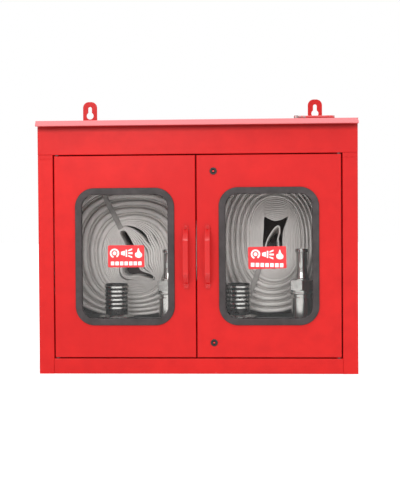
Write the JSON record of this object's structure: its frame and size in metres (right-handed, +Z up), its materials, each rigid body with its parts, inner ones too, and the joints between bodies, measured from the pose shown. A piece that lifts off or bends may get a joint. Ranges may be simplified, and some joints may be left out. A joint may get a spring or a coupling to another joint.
{
  "type": "fire hose cabinet",
  "caption": "Red steel fire hose cabinet with a slanted canopy lip, glazed hinged doors, bow handles, cam locks, rolled hoses, couplings and branch pipes inside.",
  "frame": {"origin": "middle of the bounding box on the plane that the cabinet stands on", "axes": "+X to the right across the doors, +Y from the doors towards the wall, +Z up"},
  "size_m": [0.75, 0.281, 0.665],
  "materials": {
    "red_paint": "gloss",
    "zinc": "zinc plated",
    "nylon": "matte",
    "black_rubber": "matte",
    "gasket_rubber": "satin",
    "black_plastic": "matte",
    "window_glass": "clear",
    "sticker_film": "gloss",
    "lock_black": "satin",
    "lock_insert": "satin",
    "coupling_alloy": "machined",
    "branch_alloy": "polished",
    "hose_jacket": "woven",
    "webbing": "woven",
    "key_steel": "plain"
  },
  "bodies": {
    "cabinet": {"back_panel": "red_paint", "left_side": "red_paint", "right_side": "red_paint", "floor_pan": "red_paint", "header_panel": "red_paint", "canopy": "red_paint", "hanging_lugs": "red_paint", "lug_rivets": "zinc", "hose_shelf": "black_plastic", "hinge_pins": "red_paint", "hinge_washers": "black_plastic", "door_buffers": "black_rubber", "door_catch": "black_plastic", "left_hose": "hose_jacket", "right_hose": "hose_jacket", "left_strap": "webbing", "right_strap": "webbing"},
    "left_door": {"left_door_pan": "red_paint", "left_gasket": "gasket_rubber", "left_glass": "window_glass", "left_sticker": "sticker_film", "left_handle": "red_paint", "left_handle_screws": "red_paint", "left_handle_nuts": "zinc", "left_bushes": "nylon", "catch_keeper": "zinc"},
    "right_door": {"right_door_pan": "red_paint", "right_gasket": "gasket_rubber", "right_glass": "window_glass", "right_sticker": "sticker_film", "right_handle": "red_paint", "right_handle_screws": "red_paint", "right_handle_nuts": "zinc", "right_bushes": "nylon", "lock_housings": "lock_black", "lock_nuts": "zinc"},
    "key": {"lock_key": "key_steel"},
    "top_lock": {"top_lock_rotor": "lock_insert", "top_lock_cam": "zinc", "top_cam_screw": "zinc"},
    "bottom_lock": {"bottom_lock_rotor": "lock_insert", "bottom_lock_cam": "zinc", "bottom_cam_screw": "zinc"},
    "left_coupling_base": {"left_coupling_lower": "coupling_alloy", "left_coupling_seal": "black_rubber"},
    "left_coupling_top": {"left_coupling_upper": "coupling_alloy"},
    "left_branch": {"left_branch_inlet": "branch_alloy", "left_branch_barrel": "branch_alloy", "left_branch_ring": "black_rubber", "left_branch_hexagon": "branch_alloy", "left_branch_nozzle": "branch_alloy"},
    "right_coupling_base": {"right_coupling_lower": "coupling_alloy", "right_coupling_seal": "black_rubber"},
    "right_coupling_top": {"right_coupling_upper": "coupling_alloy"},
    "right_branch": {"right_branch_inlet": "branch_alloy", "right_branch_barrel": "branch_alloy", "right_branch_ring": "black_rubber", "right_branch_hexagon": "branch_alloy", "right_branch_nozzle": "branch_alloy"}
  },
  "joints": [
    {"name": "left_door_swing", "type": "hinge", "parent": "cabinet", "child": "left_door", "pos_m": [-0.33075, -0.1065, 0.276], "axis": [0, 0, -1], "range_deg": [0, 105]},
    {"name": "right_door_swing", "type": "hinge", "parent": "cabinet", "child": "right_door", "pos_m": [0.33075, -0.1065, 0.276], "axis": [0, 0, 1], "range_deg": [0, 105]},
    {"name": "top_lock_turn", "type": "hinge", "parent": "right_door", "child": "top_lock", "pos_m": [0.039, -0.1125, 0.4755], "axis": [0, -1, 0], "range_deg": [0, 90]},
    {"name": "bottom_lock_turn", "type": "hinge", "parent": "right_door", "child": "bottom_lock", "pos_m": [0.039, -0.1125, 0.0735], "axis": [0, 1, 0], "range_deg": [0, 90]},
    {"name": "left_coupling_lift", "type": "slide", "parent": "cabinet", "child": "left_coupling_base", "axis": [0, 0, 1], "range_m": [0, 0.2]},
    {"name": "left_coupling_turn", "type": "hinge", "parent": "left_coupling_base", "child": "left_coupling_top", "pos_m": [-0.202, -0.02, 0.1], "axis": [0, 0, 1], "range_deg": [0, 60]},
    {"name": "left_branch_lift", "type": "slide", "parent": "cabinet", "child": "left_branch", "axis": [0, 0, 1], "range_m": [0, 0.2]},
    {"name": "right_coupling_lift", "type": "slide", "parent": "cabinet", "child": "right_coupling_base", "axis": [0, 0, 1], "range_m": [0, 0.2]},
    {"name": "right_coupling_turn", "type": "hinge", "parent": "right_coupling_base", "child": "right_coupling_top", "pos_m": [0.095, -0.02, 0.1], "axis": [0, 0, 1], "range_deg": [0, 60]},
    {"name": "right_branch_lift", "type": "slide", "parent": "cabinet", "child": "right_branch", "axis": [0, 0, 1], "range_m": [0, 0.2]},
    {"name": "key_lift", "type": "slide", "parent": "cabinet", "child": "key", "axis": [0, 0, 1], "range_m": [0, 0.1]}
  ]
}
